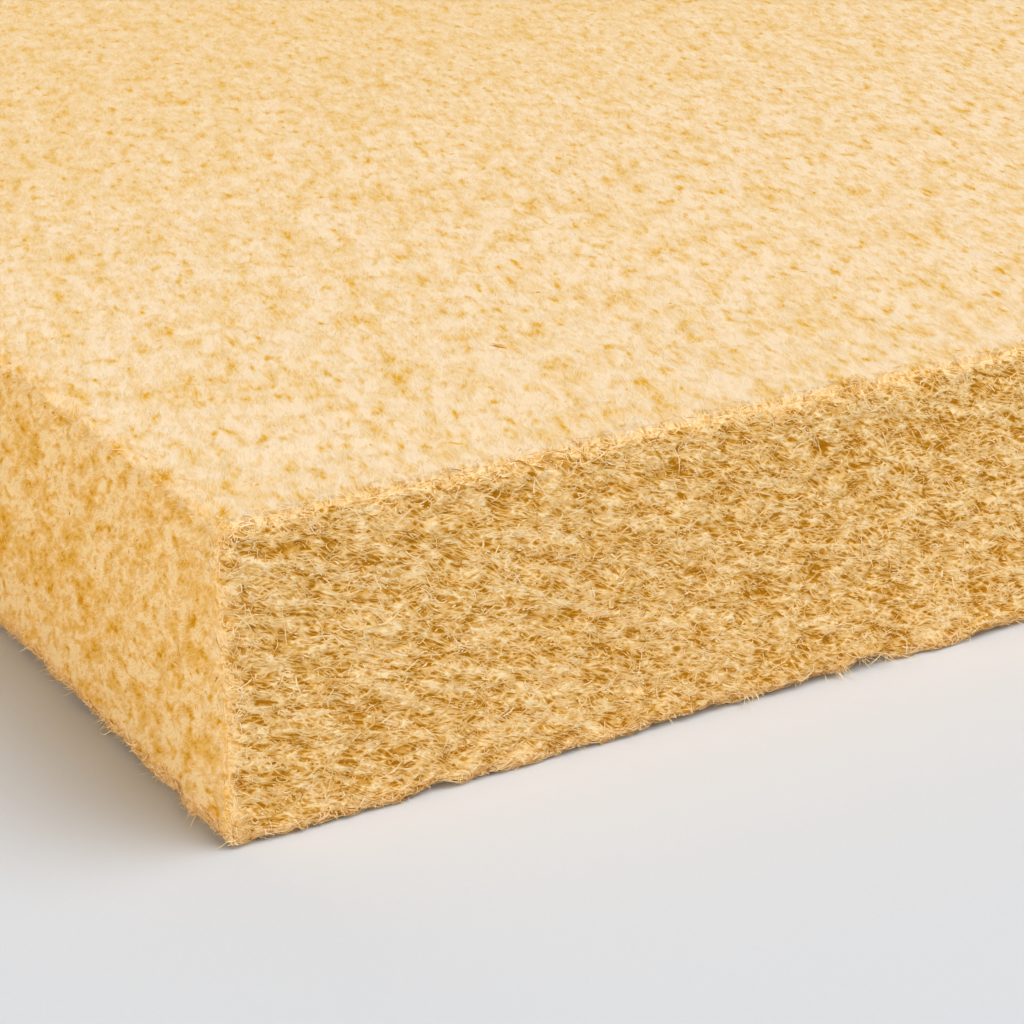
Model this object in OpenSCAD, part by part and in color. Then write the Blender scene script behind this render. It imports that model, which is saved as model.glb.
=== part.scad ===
// Flexible wood-fibre insulation batt: one slab of felted softwood fibre.
// It is formed as an endless mat, cured to its thickness and sawn square on all four sides.
// It lies flat, with the middle of its underside at the origin and its length along X.

/* [Batt] */
// Length of the batt, from end to end
batt_length = 1220; // [600:10:1400]
// Width of the batt, cut a little over the clear gap between two rafters
batt_width = 575; // [300:5:650]
// Thickness of the batt, from its underside to its upper face
batt_thickness = 60; // [30:2:240]

/* [Edges] */
// Rounding around the upper face, where the felted skin curls over the saw cut
upper_arris_r = 2.5; // [0.5:0.5:10]
// Rounding around the underside, which stays crisper
lower_arris_r = 1.5; // [0.5:0.5:8]
// Rounding of the four upright corners, seen from above
corner_r = 2; // [0.5:0.5:20]

/* [Hidden] */
$fn = 64;
fibre_colour = [0.93, 0.77, 0.49];
// How far each drawn profile runs past the batt before the three are intersected
overrun = 10;

// What a rounded corner loses: a square of side r, less a quarter disc, in the corner at the origin
module corner_waste(r) {
    difference() {
        translate([-overrun, -overrun]) square(r + overrun);
        translate([r, r]) circle(r);
    }
}

// Upright section of the batt across a given span, standing on the X axis
module section(span) {
    difference() {
        translate([-span / 2, 0]) square([span, batt_thickness]);
        for (side = [0, 1]) mirror([side, 0]) {
            translate([-span / 2, 0]) corner_waste(lower_arris_r);
            translate([-span / 2, batt_thickness]) mirror([0, 1]) corner_waste(upper_arris_r);
        }
    }
}

// Outline of the batt seen from above, centred on the origin
module plan() {
    difference() {
        square([batt_length, batt_width], center = true);
        for (end = [0, 1], side = [0, 1]) mirror([end, 0]) mirror([0, side])
            translate([-batt_length / 2, -batt_width / 2]) corner_waste(corner_r);
    }
}

// The slab: what its plan, its lengthwise section and its crosswise section have in common
module batt() {
    color(fibre_colour)
    intersection() {
        translate([0, 0, -overrun]) linear_extrude(batt_thickness + 2 * overrun) plan();
        rotate([90, 0, 0])
            linear_extrude(batt_width + 2 * overrun, center = true) section(batt_length);
        rotate([90, 0, 90])
            linear_extrude(batt_length + 2 * overrun, center = true) section(batt_width);
    }
}

batt();
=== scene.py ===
"""A wood-fibre insulation batt for the studio: felted slab, loose fibres, stage, light and camera."""

import math

import bmesh
import bpy
import numpy as np
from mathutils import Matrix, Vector, noise
from mathutils.bvhtree import BVHTree


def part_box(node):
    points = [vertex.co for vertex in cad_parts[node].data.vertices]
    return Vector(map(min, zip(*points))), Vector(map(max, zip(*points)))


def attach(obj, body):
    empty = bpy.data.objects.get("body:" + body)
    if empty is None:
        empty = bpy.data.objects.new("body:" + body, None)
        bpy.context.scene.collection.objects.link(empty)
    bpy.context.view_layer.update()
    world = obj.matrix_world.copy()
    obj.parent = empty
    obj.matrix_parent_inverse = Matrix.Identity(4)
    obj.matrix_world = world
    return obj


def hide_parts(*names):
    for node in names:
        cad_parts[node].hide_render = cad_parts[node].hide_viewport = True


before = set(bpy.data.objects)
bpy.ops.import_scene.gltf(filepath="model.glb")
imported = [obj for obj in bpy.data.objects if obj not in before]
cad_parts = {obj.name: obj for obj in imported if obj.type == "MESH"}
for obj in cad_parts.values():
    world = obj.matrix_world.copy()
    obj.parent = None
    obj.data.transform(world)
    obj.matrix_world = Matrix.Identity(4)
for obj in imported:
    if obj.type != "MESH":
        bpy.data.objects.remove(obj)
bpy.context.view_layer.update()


# Slab
# The batt itself is softwood fibre, felted into an endless mat and cured to its thickness. It is sawn
# square on all four sides, which leaves smooth upper and lower faces, open layered sides and torn arrises.
MM = 0.001
SLAB_SEED = 3
low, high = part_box("batt")
low, high = np.array(low), np.array(high)
length, width, thickness = high - low

corner_radius = 2 * MM
upper_radius = 2.5 * MM
lower_radius = 1.5 * MM
fine_gap = 1.15 * MM
fine_reach = 190 * MM
gap_growth = 1.12
arris_lines = np.array([6, 4, 2.5, 1.2]) * MM
wall_rows = 52
underside_insets = np.array([1.5, 4, 10, 30]) * MM


def graded_lines(span):
    """Places of the mesh lines from the near corner: close as far as a close view reaches, then wider."""
    lines = list(np.arange(0, fine_reach, fine_gap))
    gap = fine_gap * gap_growth
    while lines[-1] + gap < span - 1.5 * arris_lines[0]:
        lines.append(lines[-1] + gap)
        gap *= gap_growth
    return np.concatenate([lines, span - arris_lines, [span]])


def swell(points, size, seed):
    """Smooth chance relief from -1 to 1 at each point, in lumps about as far apart as the size."""
    seed_step = 31.7
    places = points / size + seed_step * seed
    return np.array([noise.noise(place) for place in places.tolist()])


def deselect_all():
    bpy.ops.object.select_all(action="DESELECT")


x_lines = low[0] + graded_lines(length)
y_lines = low[1] + graded_lines(width)
z_lines = high[2] - thickness * np.arange(wall_rows + 1) / wall_rows

deselect_all()
bpy.ops.mesh.primitive_grid_add(x_subdivisions=len(x_lines) - 1, y_subdivisions=len(y_lines) - 1, size=1)
slab = bpy.context.object
slab.name = "felt_slab"
slab.data.name = "felt_slab"

# The sheet's rim is drawn down one row at a time for the sawn sides, then in under the slab and closed.
bpy.ops.object.mode_set(mode="EDIT")
bpy.ops.mesh.select_all(action="SELECT")
bpy.ops.mesh.region_to_loop()
for row in range(wall_rows + len(underside_insets)):
    bpy.ops.mesh.extrude_edges_move(TRANSFORM_OT_translate={"value": (0, 0, -1)})
bpy.ops.mesh.edge_face_add()
bpy.ops.mesh.quads_convert_to_tris(ngon_method="BEAUTY")
bpy.ops.object.mode_set(mode="OBJECT")

mesh = slab.data
raw = np.empty(len(mesh.vertices) * 3)
mesh.vertices.foreach_get("co", raw)
raw = raw.reshape(-1, 3)
ring = np.rint(-raw[:, 2]).astype(int)
box_points = np.column_stack([
    x_lines[np.rint((raw[:, 0] + 0.5) * (len(x_lines) - 1)).astype(int)],
    y_lines[np.rint((raw[:, 1] + 0.5) * (len(y_lines) - 1)).astype(int)],
    z_lines[np.minimum(ring, wall_rows)],
])
inset = np.concatenate([np.zeros(wall_rows + 1), underside_insets])[ring][:, None]
box_points[:, :2] = np.clip(box_points[:, :2], low[:2] + inset, high[:2] - inset)

# Arrises and corners are rounded by pushing each point out from an inner box by the radii there.
radii = np.where(
    box_points[:, 2:] > thickness / 2,
    [corner_radius, corner_radius, upper_radius],
    [corner_radius, corner_radius, lower_radius],
)
inner = np.clip(box_points, low + radii, high - radii)
outward = (box_points - inner) / radii
outward /= np.linalg.norm(outward, axis=1)[:, None]
points = inner + radii * outward


def ramp(values, start, end):
    """Rises smoothly from 0 at the start to 1 at the end."""
    steps = np.clip((values - start) / (end - start), 0, 1)
    return steps * steps * (3 - 2 * steps)


# How sawn each place is: the felted skin thins out towards the cut in an uneven line, soonest at the ends.
# Long edges were cut across the layers and are rough and open. The ends are smoother, and a stripe of paler
# skin is left on them beside each upright corner.
inset_x, inset_y = np.minimum(points[:, :2] - low[:2], high[:2] - points[:, :2]).T
from_skin = np.minimum(high[2] - points[:, 2], points[:, 2] - low[2])
skin_wave = 1.6 * MM * swell(points, 6 * MM, SLAB_SEED + 6)
end_cut = ramp(from_skin - inset_x + skin_wave, -8 * MM, 3 * MM)
# On the upper face the cut colour reaches a few millimetres in from each long arris, partly for the torn
# fibres there and partly as painted shade between them.
edge_cut = ramp(from_skin - inset_y + skin_wave, -6 * MM, 2.5 * MM)
sawn = np.maximum(end_cut, edge_cut)
long_cut = ramp(inset_x - inset_y + skin_wave, -5 * MM, 7 * MM)
pale_corner = np.exp(-((inset_y - 3.4 * MM) / (2 * MM)) ** 2) * (inset_x < 1 * MM)
sawn *= 1 - 0.15 * pale_corner
end_openness = 0.25
openness = sawn * (end_openness + (1 - end_openness) * long_cut)
arris_distance = np.sort(np.column_stack([inset_x, inset_y, from_skin]), axis=1)[:, 1]
arris = np.exp(-(arris_distance / (3 * MM)) ** 2)


# Relief: a slow wander, clumps that lie in sloping layers on the sawn sides, and hollows between them.
layer_fall = math.radians(21)


def layered(places):
    """The places with their heights stretched, so that what is round in them lies in the layers."""
    heights = 1.7 * (places[:, 2] + math.tan(layer_fall) * places[:, 0])
    return np.column_stack([places[:, :2], heights])


def clump_height(places):
    """Height, from -1 to 1, of the clumps of fibre."""
    return swell(layered(places), 7 * MM, SLAB_SEED + 1)


def hollow_depth(places):
    """Depth, from 0 to 1, of the hollows between clumps of fibre."""
    lumps = swell(layered(places), 3.2 * MM, SLAB_SEED + 2)
    return np.clip((lumps + 0.3 * swell(places, 9 * MM, SLAB_SEED + 3) - 0.02) / 0.4, 0, 1)


wander = swell(points, 80 * MM, SLAB_SEED)
clumps = clump_height(points)
hollow = hollow_depth(points)
nibbles = arris * np.clip(swell(points, 3.2 * MM, SLAB_SEED + 7) + 0.1, 0, 1)
arris_wander = arris * swell(points, 9 * MM, SLAB_SEED + 8)
sawn_relief = (0.5 * wander + 0.45 * clumps - 0.4 * hollow) * MM
felt_relief = (0.4 * wander + 0.2 * clumps - 0.12 * hollow) * MM
relief = openness * sawn_relief + (1 - openness) * felt_relief
relief += (0.6 * arris_wander - 0.5 * nibbles) * MM
points += outward * relief[:, None]

# The foot bulges and draws back a little along every side.
foot = np.clip(1 - points[:, 2] / (7 * MM), 0, 1)
bulge = 0.9 * MM * swell(points * [1, 1, 0.3], 7 * MM, SLAB_SEED + 5)
points[:, :2] += outward[:, :2] * (foot * bulge)[:, None]

# The lower arris of the front has lifted off the floor in places: middle, half length, then height.
front_lifts = np.array([
    (72, 5, 0.5), (88, 6, 0.7), (99, 5, 0.8), (123, 8, 1.1), (139, 5.5, 2.4), (169, 6, 1.3),
]) * MM
along_front = points[:, 0] - low[0]
front_lift = sum(
    height * np.exp(-((along_front - middle) / half) ** 4) for middle, half, height in front_lifts
)
chance_lift = 1.6 * MM * np.clip(swell(points * [1, 1, 0], 12 * MM, SLAB_SEED + 4) - 0.05, 0, 1)
near_front = np.exp(-((points[:, 1] - low[1]) / (9 * MM)) ** 2)
near_edge = np.exp(-(np.minimum(inset_x, inset_y) / (9 * MM)) ** 2)
low_down = np.clip(1 - points[:, 2] / (9 * MM), 0, 1) ** 2
points[:, 2] += low_down * (near_front * front_lift + near_edge * chance_lift)
points[:, 2] = np.maximum(points[:, 2], 0)

mesh.vertices.foreach_set("co", points.ravel())

# The felt turns a deeper gold towards the back.
golden = ramp(points[:, 1] - low[1] - 0.3 * (points[:, 0] - low[0]), 40 * MM, 280 * MM)
# The hollow depth goes along with them, for the painted shade in the hollows of the long edges.
for name, values in (("sawn", sawn), ("long_cut", long_cut), ("hollow", hollow), ("golden", golden)):
    mesh.attributes.new(name, "FLOAT", "POINT").data.foreach_set("value", values)
mesh.update()

deselect_all()
slab.select_set(True)
bpy.context.view_layer.objects.active = slab
bpy.ops.object.mode_set(mode="EDIT")
bpy.ops.mesh.select_all(action="SELECT")
bpy.ops.mesh.normals_make_consistent(inside=False)
bpy.ops.object.mode_set(mode="OBJECT")
bpy.ops.object.shade_smooth()

# Drawing the rim down leaves its faces in a chance order. They are put in a fixed one, by their first edge,
# so that each run gives the same slab and lays the same strands on it.
sheet = bmesh.new()
sheet.from_mesh(mesh)
sheet.faces.sort(key=lambda face: face.verts[0].index * len(points) + face.verts[1].index)
sheet.to_mesh(mesh)
sheet.free()

# The pattern of the felt lies on each face in its own plane, drawn out along the way most fibres lie there.
# By the axis a face looks along: the way its fibres lie, in degrees, and how far the pattern is drawn out.
fibre_lies = [(-28, 1.78), (-24, 1.75), (70, 2.3)]
loop_points = np.empty(len(mesh.loops), dtype=int)
mesh.loops.foreach_get("vertex_index", loop_points)
face_normals = np.empty(len(mesh.polygons) * 3)
mesh.polygons.foreach_get("normal", face_normals)
face_sizes = np.empty(len(mesh.polygons), dtype=int)
mesh.polygons.foreach_get("loop_total", face_sizes)
facing = np.repeat(np.abs(face_normals.reshape(-1, 3)).argmax(axis=1), face_sizes)
at = points[loop_points]

# Each plane is moved well away from the start of the pattern, and by its own amount.
across = np.where(facing == 0, at[:, 1] + 2, at[:, 0] + 1)
upward = np.where(facing == 2, at[:, 1] + 3, at[:, 2] + 4)
lie, drawn_out = np.array(fibre_lies)[facing].T
lie = np.radians(lie)
felt_u = (np.cos(lie) * across + np.sin(lie) * upward) / drawn_out
felt_v = np.cos(lie) * upward - np.sin(lie) * across
felt_map = mesh.uv_layers.new(name="felt")
felt_map.data.foreach_set("uv", np.column_stack([felt_u, felt_v]).ravel())


class Wire:
    """One socket of a material. Sums on it add Math nodes, and node() adds a node of any other kind."""

    def __init__(self, tree, socket=None):
        self.tree = tree
        self.socket = socket

    def node(self, kind, settings=None, inputs=None, output=0):
        made = self.tree.nodes.new(kind)
        for name, value in (settings or {}).items():
            if name == "stops":
                self.set_stops(made.color_ramp, value)
            else:
                setattr(made, name, value)
        for name, value in (inputs or {}).items():
            if isinstance(value, Wire):
                self.tree.links.new(value.socket, made.inputs[name])
            else:
                made.inputs[name].default_value = value
        return Wire(self.tree, made.outputs[output] if made.outputs else None)

    def set_stops(self, ramp, stops):
        while len(ramp.elements) < len(stops):
            ramp.elements.new(1)
        for element, (place, colour) in zip(ramp.elements, stops):
            element.position = place
            element.color = (*colour, 1)

    def sum(self, operation, first, second):
        return self.node("ShaderNodeMath", {"operation": operation}, {0: first, 1: second})

    def __add__(self, other):
        return self.sum("ADD", self, other)

    __radd__ = __add__

    def __sub__(self, other):
        return self.sum("SUBTRACT", self, other)

    def __rsub__(self, other):
        return self.sum("SUBTRACT", other, self)

    def __mul__(self, other):
        return self.sum("MULTIPLY", self, other)

    __rmul__ = __mul__


def new_material(name):
    """An empty material, and a wire to build on."""
    material = bpy.data.materials.new(name)
    material.use_nodes = True
    material.node_tree.nodes.clear()
    return material, Wire(material.node_tree)


def smooth_step(value, start, end):
    settings = {"interpolation_type": "SMOOTHSTEP"}
    return value.node("ShaderNodeMapRange", settings, {0: value, 1: start, 2: end, 3: 0, 4: 1})


def blend_colour(amount, first, second):
    settings = {"data_type": "RGBA"}
    return amount.node("ShaderNodeMix", settings, {0: amount, 6: first, 7: second}, output=2)


def soft_noise(wire, place, size, detail=1.0, roughness=0.55, space="2D", output=0):
    """Chance values about 0.5, in lumps of about the size, over a face or through the body of the slab."""
    inputs = {"Vector": place, "Scale": 1 / size, "Detail": detail, "Roughness": roughness}
    return wire.node("ShaderNodeTexNoise", {"noise_dimensions": space}, inputs, output)


def finish_material(wire, colour, roughness, height, depth):
    """Ends a material in a matt shader, with its relief as bump."""
    bump = wire.node("ShaderNodeBump", None, {"Strength": 1.0, "Distance": depth, "Height": height})
    inputs = {"Base Color": colour, "Roughness": roughness, "Normal": bump, "Specular IOR Level": 0.05}
    shader = wire.node("ShaderNodeBsdfPrincipled", None, inputs)
    wire.node("ShaderNodeOutputMaterial", None, {"Surface": shader})


def scaled_place(wire, place, scales):
    return wire.node("ShaderNodeVectorMath", {"operation": "MULTIPLY"}, {0: place, 1: scales})


def fibre_lines(wire, place, angle, length_mm, breadth_mm, shift):
    """Thin fibres that all lie about one way, 1 on a fibre and 0 beside it."""
    inputs = {
        "Vector": place,
        "Location": (shift, -shift, shift),
        "Rotation": (0, 0, math.radians(angle)),
        "Scale": (length_mm * MM, breadth_mm * MM, 1),
    }
    turned = wire.node("ShaderNodeMapping", {"vector_type": "TEXTURE"}, inputs)
    off_line = wire.sum("ABSOLUTE", soft_noise(wire, turned, 1, detail=0.0) - 0.5, 0)
    return 1 - smooth_step(off_line, 0.02, 0.10)


# Shades run from the deepest hollow to the palest fibre of a face, in even steps of tone.
felt_shades = [
    (0.79, 0.39, 0.012), (0.85, 0.53, 0.165), (0.89, 0.62, 0.305),
    (0.92, 0.68, 0.395), (0.95, 0.745, 0.505),
]
end_shades = [
    (0.67, 0.28, 0.003), (0.785, 0.40, 0.05), (0.86, 0.49, 0.126),
    (0.92, 0.565, 0.21), (0.97, 0.685, 0.345),
]
# On the long edges the deepest shades also carry painted shade in the hollows.
edge_shades = [
    (0.43, 0.165, 0.003), (0.62, 0.30, 0.042), (0.77, 0.46, 0.145),
    (0.89, 0.605, 0.27), (0.96, 0.735, 0.42),
]


def shade(tone, shades):
    """Turns a tone into one face's colours."""
    places = np.linspace(0, 1, len(shades)).tolist()
    return tone.node("ShaderNodeValToRGB", {"stops": list(zip(places, shades))}, {"Fac": tone})


slab_material, wire = new_material("felted_wood_fibre")
felt_place = wire.node("ShaderNodeUVMap", {"uv_map": "felt"})
sawn_mask = wire.node("ShaderNodeAttribute", {"attribute_name": "sawn"}, output=2)
long_mask = wire.node("ShaderNodeAttribute", {"attribute_name": "long_cut"}, output=2)
# The hollow mask brings the painted shade of the hollows into the long edges' colour.
hollow_shade_mask = wire.node("ShaderNodeAttribute", {"attribute_name": "hollow"}, output=2)
golden_mask = wire.node("ShaderNodeAttribute", {"attribute_name": "golden"}, output=2)
body_place = wire.node("ShaderNodeTexCoord", output=3)


def moved_place(wire, place, size, reach):
    """The place moved about by chance, as far as the reach, in swirls of about the size."""
    swirl = soft_noise(wire, place, size, detail=0.0, output=1)
    swirl = wire.node("ShaderNodeVectorMath", {"operation": "SUBTRACT"}, {0: swirl, 1: (0.5, 0.5, 0.5)})
    swirl = scaled_place(wire, swirl, (2 * reach, 2 * reach, 0))
    return wire.node("ShaderNodeVectorMath", {"operation": "ADD"}, {0: place, 1: swirl})


# A web of strands, three ways across each other, which wander a little.
line_place = moved_place(wire, felt_place, 4 * MM, 1.1 * MM)
line_sizes = [(-25, 4.0, 1.1), (5, 4.4, 1.0), (40, 3.6, 1.2)]
web = 0.0
for number, (angle, line_length, line_breadth) in enumerate(line_sizes):
    lines = fibre_lines(wire, line_place, angle, line_length, line_breadth, 3.1 * number)
    web = wire.sum("MAXIMUM", lines, web)

# Felt: fine grain and clumps of cream fibre, with golden pits between them that gather in groups.
grain = soft_noise(wire, felt_place, 1.1 * MM, detail=1.0)
tufts = soft_noise(wire, felt_place, 3 * MM)
groups = soft_noise(wire, felt_place, 7.5 * MM)
mottle = soft_noise(wire, felt_place, 17 * MM)
crowding = 0.25 * (groups - 0.5) + 0.3 * (mottle - 0.5)
pit_place = moved_place(wire, felt_place, 2 * MM, 0.4 * MM)
pits = smooth_step(soft_noise(wire, pit_place, 2.3 * MM, roughness=0.5) + crowding, 0.53, 0.94)
small_pits = smooth_step(soft_noise(wire, pit_place, 1.2 * MM, detail=0.0) + crowding, 0.6, 1.05)
all_pits = pits + 0.3 * small_pits
felt_clouds = 0.3 * (grain - 0.5) + 1.3 * (tufts - 0.5) + 0.95 * (groups - 0.5) + 0.5 * (mottle - 0.5)
felt_marks = felt_clouds + 0.26 * (web - 0.45) - 0.68 * all_pits
felt_tone = 0.72 + (1 - 0.35 * golden_mask) * felt_marks - 0.16 * golden_mask
end_clouds = 0.3 * (grain - 0.5) + 0.2 * (groups - 0.5) + 0.3 * (mottle - 0.5)
end_tone = 0.06 + felt_tone + end_clouds - 0.15 * all_pits

# Long edges: strands cross over gaps that lie in the layers.
# The gaps and the hollows are painted deeper, partly for the amber of the fibre below and partly as
# painted shade between the strands.
gaps = soft_noise(wire, pit_place, 1.2 * MM, detail=2.0, roughness=0.6)
layers = soft_noise(wire, scaled_place(wire, felt_place, (0.4, 1, 1)), 2.2 * MM, detail=2.0)
edge_clouds = 1.3 * (gaps - 0.5) + 1.3 * (layers - 0.5) + 0.2 * (groups - 0.5) + 0.25 * (grain - 0.5)
edge_tone = 0.50 + edge_clouds + 0.5 * (web - 0.5) - 0.2 * hollow_shade_mask

# The skin, the ends and the long edges meet in torn lines.
torn = 2.0 * (soft_noise(wire, body_place, 1.6 * MM, detail=2.0, space="3D") - 0.5)
torn_sawn = sawn_mask + 4 * torn * sawn_mask * (1 - sawn_mask)
torn_long = smooth_step(long_mask + 0.4 * torn, 0.2, 0.8)
sawn_colour = blend_colour(torn_long, shade(end_tone, end_shades), shade(edge_tone, edge_shades))
slab_colour = blend_colour(torn_sawn, shade(felt_tone, felt_shades), sawn_colour)
slab_height = 0.8 * grain + 0.15 * web + 1.8 * sawn_mask * long_mask * gaps
finish_material(wire, slab_colour, 0.95, slab_height, 0.3 * MM)
slab.data.materials.append(slab_material)

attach(slab, "root")
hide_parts("batt")


# Face fibres
# Single fibres and thin slivers of softwood show on every open face, where the saw and handling freed them.
# Each is a closed, tapered and bent spindle with both ends sunk in the slab. Darker ones are bark-stained.
FIBRE_SEED = 11
chance = np.random.default_rng(FIBRE_SEED)
fibre_depth = 0.6
fibre_floor_gap = 0.1 * MM
strand_floor_gap = 0.08 * MM
surface = BVHTree.FromPolygons(
    points.tolist(),
    [tuple(face.vertices) for face in mesh.polygons],
)
faces = {
    "upper": ((low[0], low[1], high[2]), (1, 0, 0), (0, 1, 0), (0, 0, 1), (length, width)),
    "front": ((low[0], low[1], low[2]), (1, 0, 0), (0, 0, 1), (0, -1, 0), (length, thickness)),
    "left": ((low[0], low[1], low[2]), (0, 1, 0), (0, 0, 1), (-1, 0, 0), (width, thickness)),
    "back": ((low[0], high[1], low[2]), (1, 0, 0), (0, 0, 1), (0, 1, 0), (length, thickness)),
    "right": ((high[0], low[1], low[2]), (0, 1, 0), (0, 0, 1), (1, 0, 0), (width, thickness)),
}


def spread(count, span, reach):
    """Places along a span, thick up to the reach and thinning out beyond it."""
    steps = np.linspace(0, span, 400)
    share = np.cumsum(1 / (1 + (steps / reach) ** 3))
    return np.interp(chance.random(count), share / share[-1], steps)


def seat(places, normal):
    """Heights of places above the slab's box face, by dropping each onto the slab, or nan off its edge."""
    clearance = 15 * MM
    deepest = 6 * MM
    drop = Vector(-normal)
    heights = np.full(len(places), np.nan)
    for number, place in enumerate((places + normal * clearance).tolist()):
        hit = surface.ray_cast(Vector(place), drop, clearance + deepest)
        if hit[0] is not None:
            heights[number] = clearance - hit[3]
    return heights


def laid_paths(face, starts, lengths, angles, bends, lifts, tilts, bridging, knots):
    """Fibre middle lines on a face, bent in its plane. Bridging is 0 along the relief and 1 across it."""
    corner, along, up, normal = (np.array(part, dtype=float) for part in faces[face][:4])
    steps = np.linspace(-0.5, 0.5, knots)
    turn = angles[:, None] + bends[:, None] * steps
    reach = lengths[:, None] * steps
    flat = starts[:, None, :] + np.stack([reach * np.cos(turn), reach * np.sin(turn)], axis=-1)
    sag = bends[:, None] * lengths[:, None] * (0.25 - steps ** 2) / 2
    flat += np.stack([-sag * np.sin(angles)[:, None], sag * np.cos(angles)[:, None]], axis=-1)
    plane = corner + flat[..., :1] * along + flat[..., 1:] * up
    ground = seat(plane.reshape(-1, 3), normal).reshape(-1, knots)
    ground = ground + bridging * (ground.max(axis=1)[:, None] - ground)
    sunk_ends = 0.12 * MM
    arch = -sunk_ends * (2 * steps) ** 4
    height = ground + lifts[:, None] + arch + tilts[:, None] * (steps + 0.5)
    return plane + height[..., None] * normal, normal


def add_fibres(name, paths, normals, half_widths, tints, material):
    """One mesh of closed, flat, pointed fibres along the paths, each with its own tint."""
    count, knots = paths.shape[:2]
    way = np.gradient(paths, axis=1)
    way /= np.linalg.norm(way, axis=2)[..., None] + 1e-12
    side = np.cross(way, normals[:, None, :])
    side /= np.linalg.norm(side, axis=2)[..., None] + 1e-12
    over = np.cross(side, way)
    roll = chance.normal(0, 0.15, (count, 1, 1))
    leaning = np.cos(roll) * side + np.sin(roll) * over
    keel = np.cos(roll) * over - np.sin(roll) * side
    breadth = half_widths[:, None]
    corners = [paths[:, 0]]
    for knot in range(1, knots - 1):
        corners.append(paths[:, knot] - breadth * leaning[:, knot])
        corners.append(paths[:, knot] + breadth * leaning[:, knot])
        corners.append(paths[:, knot] - fibre_depth * breadth * keel[:, knot])
    corners.append(paths[:, -1])
    each = len(corners)
    last = each - 4
    fans = [(0, 2, 1), (0, 3, 2), (0, 1, 3)]
    fans += [(each - 1, last, last + 1), (each - 1, last + 1, last + 2), (each - 1, last + 2, last)]
    bands = []
    for ring in range(1, last, 3):
        bands += [(ring + a, ring + b, ring + b + 3, ring + a + 3) for a, b in ((0, 1), (1, 2), (2, 0))]
    firsts = each * np.arange(count)[:, None, None]
    fibre_faces = (firsts + np.array(fans)).reshape(-1, 3).tolist()
    if bands:
        fibre_faces += (firsts + np.array(bands)).reshape(-1, 4).tolist()
    fibre_mesh = bpy.data.meshes.new(name)
    fibre_mesh.from_pydata(np.stack(corners, axis=1).reshape(-1, 3).tolist(), [], fibre_faces)
    tint = fibre_mesh.attributes.new("tint", "FLOAT", "POINT")
    tint.data.foreach_set("value", np.repeat(tints, each))
    fibre_mesh.materials.append(material)
    piece = bpy.data.objects.new(name, fibre_mesh)
    bpy.context.collection.objects.link(piece)
    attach(piece, "root")


def fibre_material(name, shades):
    """Matt softwood fibre, each in the shade of its tint and a little uneven along its length."""
    material, wire = new_material(name)
    tint = wire.node("ShaderNodeAttribute", {"attribute_name": "tint"}, output=2)
    fleck = soft_noise(wire, wire.node("ShaderNodeTexCoord", output=3), 1.2 * MM, space="3D")
    finish_material(wire, shade(tint + 0.6 * (fleck - 0.5), shades), 0.95, fleck, 0.05 * MM)
    return material


felt_fibre = fibre_material("felt_fibre", felt_shades)
end_fibre = fibre_material("end_fibre", end_shades)
edge_fibre = fibre_material("edge_fibre", edge_shades)


def cover_face(
    name, face, material, count, reach, size, tone,
    lie=0, stray=25, bend=0.6, lift=0.05 * MM, loose=0.01, bridging=0, knots=3,
):
    """Fibres over one face, most about one way in degrees. Loose is the share with a free end."""
    spans = faces[face][4]
    mean_length, half_width = size
    starts = np.column_stack([spread(count, spans[0], reach), spread(count, spans[1], reach)])
    lengths = mean_length * np.clip(chance.lognormal(0, 0.45, count), 0.3, 3)
    crossing = chance.random(count) < 0.25
    any_way = chance.uniform(-90, 90, count)
    about_one_way = chance.normal(0, stray, count)
    angles = np.radians(lie + np.where(crossing, any_way, about_one_way))
    bends = chance.normal(0, bend, count)
    corner, along, up = (np.array(part, dtype=float) for part in faces[face][:3])
    middles = corner + starts[:, :1] * along + starts[:, 1:] * up
    # A fibre over a hollow is tinted deeper and one on a clump a little paler: painted shade in the
    # hollows.
    patches = swell(layered(middles), 1.7 * MM, FIBRE_SEED) + 0.15 * clump_height(middles)
    base, variety = tone
    tints = base + variety * (2 * patches - 1.2 * hollow_depth(middles) + chance.normal(0, 0.3, count))
    lifts = lift * (0.3 + 0.7 * np.clip(tints, 0, 1) * chance.random(count))
    freed = chance.random(count) < loose
    tilts = np.where(freed, chance.uniform(0.2 * MM, 1.0 * MM, count), 0)
    paths, normal = laid_paths(face, starts, lengths, angles, bends, lifts, tilts, bridging, knots)
    paths[..., 2] = np.maximum(paths[..., 2], fibre_floor_gap)
    half_widths = half_width * np.clip(chance.lognormal(0, 0.3, count), 0.4, 2.2)
    kept = ~np.isnan(paths).any(axis=(1, 2))
    normals = np.tile(normal, (count, 1))
    add_fibres(name, paths[kept], normals[kept], half_widths[kept], tints[kept], material)


# Mean length and half width of each kind of fibre, then mean tone and spread of tone on each face.
short_fibre = (1.4 * MM, 0.12 * MM)
strand = (2.6 * MM, 0.10 * MM)
long_fibre = (3.0 * MM, 0.08 * MM)
far_fibre = (2.4 * MM, 0.14 * MM)
sliver = (1.8 * MM, 0.32 * MM)
chip = (2.2 * MM, 0.45 * MM)
edge_tones, end_tones, felt_tones = (0.66, 0.34), (0.66, 0.12), (0.86, 0.14)
strand_tones, dark_tones = (0.80, 0.22), (0.15, 0.2)
front_reach, left_reach, upper_reach, everywhere = 215 * MM, 150 * MM, 330 * MM, 2000 * MM
left_lie, front_lie, upper_lie = 85, -13, 105

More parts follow.
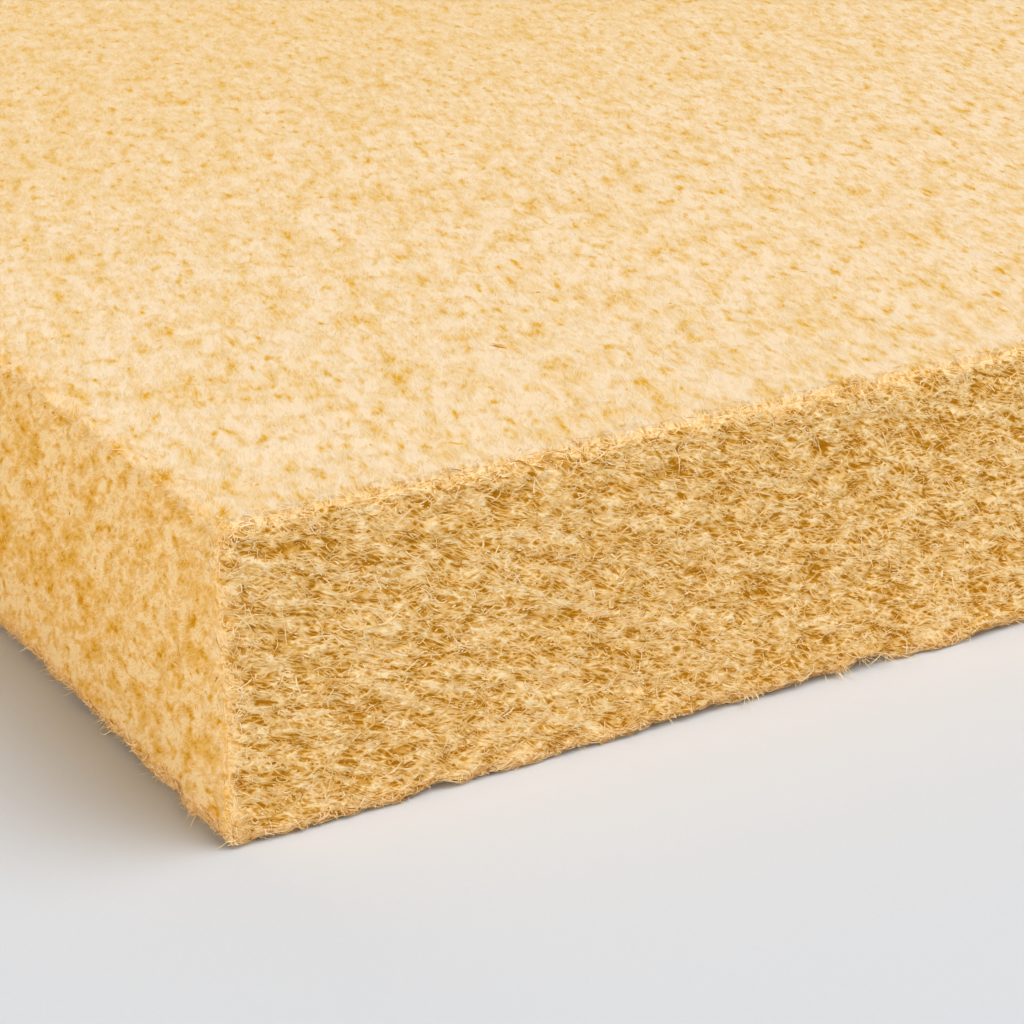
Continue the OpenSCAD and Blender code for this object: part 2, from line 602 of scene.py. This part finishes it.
cover_face(
    "front_fibres", "front", edge_fibre, 13000, front_reach, short_fibre, edge_tones,
    lie=front_lie, lift=0.12 * MM, loose=0.02,
)
cover_face(
    "front_strands", "front", edge_fibre, 5000, front_reach, strand, strand_tones,
    lie=front_lie, stray=30, bend=1.8, lift=0.10 * MM, bridging=0.2, knots=7,
)
cover_face(
    "left_fibres", "left", end_fibre, 7000, left_reach, short_fibre, end_tones, lie=left_lie, stray=60,
)
cover_face(
    "left_slivers", "left", end_fibre, 160, left_reach, sliver, dark_tones, lie=left_lie, stray=60,
)
cover_face(
    "upper_fibres", "upper", felt_fibre, 12000, upper_reach, long_fibre, felt_tones,
    lie=upper_lie, stray=40,
)
cover_face(
    "upper_slivers", "upper", felt_fibre, 420, upper_reach, chip, dark_tones, lie=upper_lie, stray=35,
)
cover_face("back_fibres", "back", edge_fibre, 9000, everywhere, far_fibre, edge_tones, lift=0.3 * MM)
cover_face("right_fibres", "right", end_fibre, 4500, everywhere, far_fibre, end_tones, lift=0.2 * MM)


# Arris strands
# Along the upper arrises, the foot and the near upright corner, cream strands of skin reach over the cut.
# They are the same closed fibres, laid round the rounded edge, and their ends are sunk in the slab.
near_corner = np.array([low[0], low[1], low[2]])
upper_corner = np.array([low[0], low[1], high[2]])
to_right, to_back, downward = np.array([1.0, 0, 0]), np.array([0, 1.0, 0]), np.array([0, 0, -1.0])


def wrap_edge(
    name, corner, along, span, sides, material, count, reach, tone,
    mean_length=2.4 * MM, middle=0.4 * MM, scatter=2.6 * MM, rise=0.08 * MM,
):
    """Strands about an edge. Middle says how far past it, down its second side, most of them lie."""
    knots = 7
    steps = np.linspace(-1, 1, knots)
    lengths = mean_length / 2 * np.clip(chance.lognormal(0, 0.4, count), 0.4, 2.5)
    slants = chance.normal(0, 0.7, count)
    bends = chance.normal(0, 0.35, count)
    middles = chance.normal(middle, scatter, count)
    away = lengths[:, None] * steps * np.cos(slants)[:, None]
    away += lengths[:, None] * (1 - steps ** 2) * bends[:, None]
    places = spread(count, span, reach)[:, None] + away
    over = middles[:, None] + lengths[:, None] * steps * np.sin(slants)[:, None]
    first, second = sides
    unfolded = corner + places[..., None] * along
    unfolded = unfolded + np.maximum(-over, 0)[..., None] * first + np.maximum(over, 0)[..., None] * second
    paths, normals = np.empty_like(unfolded), np.empty_like(unfolded)
    for number in np.ndindex(count, knots):
        spot, normal = surface.find_nearest(Vector(unfolded[number]))[:2]
        paths[number], normals[number] = spot, normal
    sunk_ends = 0.1 * MM
    arch = rise * chance.random(count)[:, None] * (1 - steps ** 4) - sunk_ends * steps ** 6
    paths += arch[..., None] * normals
    paths[..., 2] = np.maximum(paths[..., 2], strand_floor_gap)
    half_widths = 0.09 * MM * np.clip(chance.lognormal(0, 0.3, count), 0.4, 2)
    outs = normals.mean(axis=1)
    outs /= np.linalg.norm(outs, axis=1)[:, None]
    tints = chance.normal(*tone, count)
    add_fibres(name, paths, outs, half_widths, tints, material)


wrap_edge(
    "front_arris_strands", upper_corner, to_right, length, (to_back, downward),
    edge_fibre, 1500, front_reach, (0.8, 0.3),
)
wrap_edge(
    "left_arris_strands", upper_corner, to_back, width, (to_right, downward),
    end_fibre, 400, left_reach, (1.0, 0.2),
)
wrap_edge(
    "corner_strands", near_corner, -downward, thickness, (to_back, to_right),
    edge_fibre, 400, everywhere, (0.8, 0.25), mean_length=1.8 * MM,
)
wrap_edge(
    "front_foot_strands", near_corner, to_right, length, (to_back, -downward),
    edge_fibre, 1300, front_reach, (0.75, 0.25), middle=1.0 * MM, scatter=0.8 * MM, rise=0.5 * MM,
)
wrap_edge(
    "left_foot_strands", near_corner, to_back, width, (to_right, -downward),
    end_fibre, 1500, left_reach, (1.0, 0.2), middle=1.6 * MM, scatter=1.0 * MM, rise=0.35 * MM,
)


# Fringe
# Along the arrises, and most of all along the foot, the saw and handling have pulled fibres loose. Each has
# one end in the slab and sticks out a millimetre or so, and here and there they hang together in a tuft.
def fringe_paths(roots, ways, lengths, droops, knots=5):
    """Fibre middle lines that leave their roots along the ways and bend down and aside to their tips."""
    steps = np.linspace(0, 1, knots)[None, :, None]
    count = len(roots)
    aside = np.cross(ways, [0, 0, 1]) * chance.normal(0, 1.6, count)[:, None]
    down = np.column_stack([np.zeros((count, 2)), -droops])
    bent = steps * ways[:, None] + steps ** 2 * (aside + down)[:, None]
    paths = roots[:, None, :] + lengths[:, None, None] * bent
    paths[..., 2] = np.maximum(paths[..., 2], strand_floor_gap)
    return paths


def fringe(face, places, heights, lengths, leans, droops):
    """Loose fibres on a side, by their places along it, heights, lengths, sideways leans and droops."""
    corner, along, up, normal = (np.array(part, dtype=float) for part in faces[face][:4])
    plane = corner + places[:, None] * along + heights[:, None] * up
    root_depth = 0.3 * MM
    roots = plane + (seat(plane, normal) - root_depth)[:, None] * normal
    ways = normal + leans[:, None] * along + chance.normal(0, 0.25, len(places))[:, None] * up
    ways /= np.linalg.norm(ways, axis=1)[:, None]
    return fringe_paths(roots, ways, lengths, droops)


def foot_fringe(face, count, reach):
    """Loose fibres all along the foot of one side."""
    places = spread(count, faces[face][4][0], reach)
    heights = 3 * MM * chance.random(count) ** 1.5 + 0.2 * MM
    lengths = 0.55 * MM * np.clip(chance.lognormal(0, 0.45, count), 0.3, 2.4)
    leans, droops = chance.normal(0, 2.2, count), chance.uniform(-0.3, 1.2, count)
    return fringe(face, places, heights, lengths, leans, droops)


def arris_fringe(face, count, reach):
    """Loose fibres all along the upper arris of one side, most of them lying along it."""
    places = spread(count, faces[face][4][0], reach)
    heights = thickness - 3 * MM * chance.random(count) - 0.3 * MM
    lengths = 0.8 * MM * np.clip(chance.lognormal(0, 0.4, count), 0.3, 2.5)
    leans, droops = chance.normal(0, 2.5, count), chance.uniform(-0.5, 0.5, count)
    return fringe(face, places, heights, lengths, leans, droops)


def tuft(face, place, breadth, height, length, lean, count):
    """A tuft that hangs from one place on the foot."""
    places = place + breadth * chance.uniform(-0.5, 0.5, count)
    heights = height * chance.uniform(0.5, 1, count)
    lengths = length * chance.uniform(0.5, 1.2, count)
    leans, droops = chance.normal(lean, 0.5, count), chance.uniform(0.4, 1.1, count)
    return fringe(face, places, heights, lengths, leans, droops)


# Each tuft has its place along the side, breadth, height, length, lean and number of fibres.
loose_fibres = np.concatenate([
    foot_fringe("front", 1200, front_reach),
    foot_fringe("left", 3000, left_reach),
    foot_fringe("back", 500, everywhere),
    foot_fringe("right", 300, everywhere),
    arris_fringe("front", 160, front_reach),
    arris_fringe("left", 100, left_reach),
    tuft("front", 110 * MM, 5 * MM, 3 * MM, 2.0 * MM, 1.2, 30),
    tuft("front", 131 * MM, 3 * MM, 2.5 * MM, 1.8 * MM, 1.5, 20),
    tuft("front", 139 * MM, 7 * MM, 3.2 * MM, 2.0 * MM, -0.3, 26),
    tuft("left", 15 * MM, 5 * MM, 2.5 * MM, 1.8 * MM, 0.4, 14),
    tuft("left", 52 * MM, 6 * MM, 2.5 * MM, 1.7 * MM, 0.6, 16),
])
loose_fibres = loose_fibres[~np.isnan(loose_fibres).any(axis=(1, 2))]
fringe_count = len(loose_fibres)
fringe_sides = chance.normal(0, 1, (fringe_count, 3))
fringe_sides /= np.linalg.norm(fringe_sides, axis=1)[:, None]
fringe_half_widths = 0.06 * MM * np.clip(chance.lognormal(0, 0.3, fringe_count), 0.4, 2)
fringe_tints = chance.normal(0.95, 0.15, fringe_count)
add_fibres("fringe", loose_fibres, fringe_sides, fringe_half_widths, fringe_tints, edge_fibre)


# Floor
# A plain pale sheet of studio floor lies under the batt, matt and seamless, far wider than the picture.
# It is a hair lower than the batt's underside, and its grain is too fine to show as a pattern.
floor_side = 120
floor_gap = 0.2 * MM
deselect_all()
bpy.ops.mesh.primitive_plane_add(size=floor_side, location=(0, 0, -floor_gap))
floor = bpy.context.object
floor.name = "studio_floor"
bpy.ops.object.transform_apply(location=True, rotation=False, scale=False)
floor_material, wire = new_material("pale_floor")
grain = soft_noise(wire, wire.node("ShaderNodeTexCoord", output=3), 0.6 * MM, detail=2.0)
floor_tone = blend_colour(grain, (0.684, 0.711, 0.755, 1), (0.714, 0.741, 0.785, 1))
finish_material(wire, floor_tone, 0.75, grain, 0.02 * MM)
floor.data.materials.append(floor_material)


# Backdrop
# A pale paper wall stands far off all round the floor, so that a low view ends in it and not in the dark.
# It is there for the eye alone, and gives no light and casts no shadow.
backdrop_radius = 58
backdrop_height = 60
deselect_all()
bpy.ops.mesh.primitive_cylinder_add(
    vertices=96, radius=backdrop_radius, depth=backdrop_height, end_fill_type="NOTHING", location=(0, 0, 0),
)
backdrop = bpy.context.object
backdrop.name = "studio_backdrop"
backdrop.visible_diffuse = False
backdrop.visible_glossy = False
backdrop.visible_shadow = False
backdrop_material, wire = new_material("pale_paper")
paper = wire.node("ShaderNodeEmission", None, {"Color": (0.80, 0.82, 0.84, 1), "Strength": 1.0})
wire.node("ShaderNodeOutputMaterial", None, {"Surface": paper})
backdrop_material.cycles.emission_sampling = "NONE"
backdrop.data.materials.append(backdrop_material)


# Light
# A broad light stands high to the right. Others fill in low from the left and the front, and from behind.
# The room itself is dim, so that the shadow beside the batt stays.
def broad_light(name, azimuth, elevation, breadth, strength, colour=(1, 1, 1)):
    """A far, soft light, by its direction from the batt and its apparent breadth in degrees."""
    turn, rise = math.radians(azimuth), math.radians(elevation)
    toward = Vector((math.sin(turn) * math.cos(rise), -math.cos(turn) * math.cos(rise), math.sin(rise)))
    lamp = bpy.data.lights.new(name, "SUN")
    lamp.angle = math.radians(breadth)
    lamp.energy = strength
    lamp.color = colour
    light = bpy.data.objects.new(name, lamp)
    light.rotation_euler = toward.to_track_quat("Z", "Y").to_euler()
    bpy.context.collection.objects.link(light)


broad_light("key_light", azimuth=51, elevation=57, breadth=52, strength=2.68)
broad_light("fill_light", azimuth=-69, elevation=10, breadth=40, strength=2.25, colour=(1, 0.93, 0.79))
broad_light("front_light", azimuth=-10, elevation=15, breadth=60, strength=0.4)
broad_light("back_light", azimuth=140, elevation=40, breadth=70, strength=0.5)

room = bpy.data.worlds.new("pale_room")
room.use_nodes = True
room_light = room.node_tree.nodes["Background"]
room_light.inputs["Color"].default_value = (1.0, 0.97, 0.93, 1)
room_light.inputs["Strength"].default_value = 0.05
bpy.context.scene.world = room
bpy.context.scene.view_settings.view_transform = "Standard"


# Camera
# It stands close to the near corner and looks down on it, with a long lens. Its aim is measured from
# that corner.
view_azimuth = math.radians(-31.35)
view_elevation = math.radians(22.47)
view_distance = 452.2 * MM
aim = Vector((low[0] + 45.0 * MM, low[1] - 18.9 * MM, 60.0 * MM))
back = Vector((
    math.sin(view_azimuth) * math.cos(view_elevation),
    -math.cos(view_azimuth) * math.cos(view_elevation),
    math.sin(view_elevation),
))
lens = bpy.data.cameras.new("camera")
lens.sensor_width = 36
lens.lens = 95.97
lens.clip_start = 0.01
camera = bpy.data.objects.new("camera", lens)
camera.location = aim + view_distance * back
camera.rotation_euler = back.to_track_quat("Z", "Y").to_euler()
bpy.context.collection.objects.link(camera)
bpy.context.scene.camera = camera
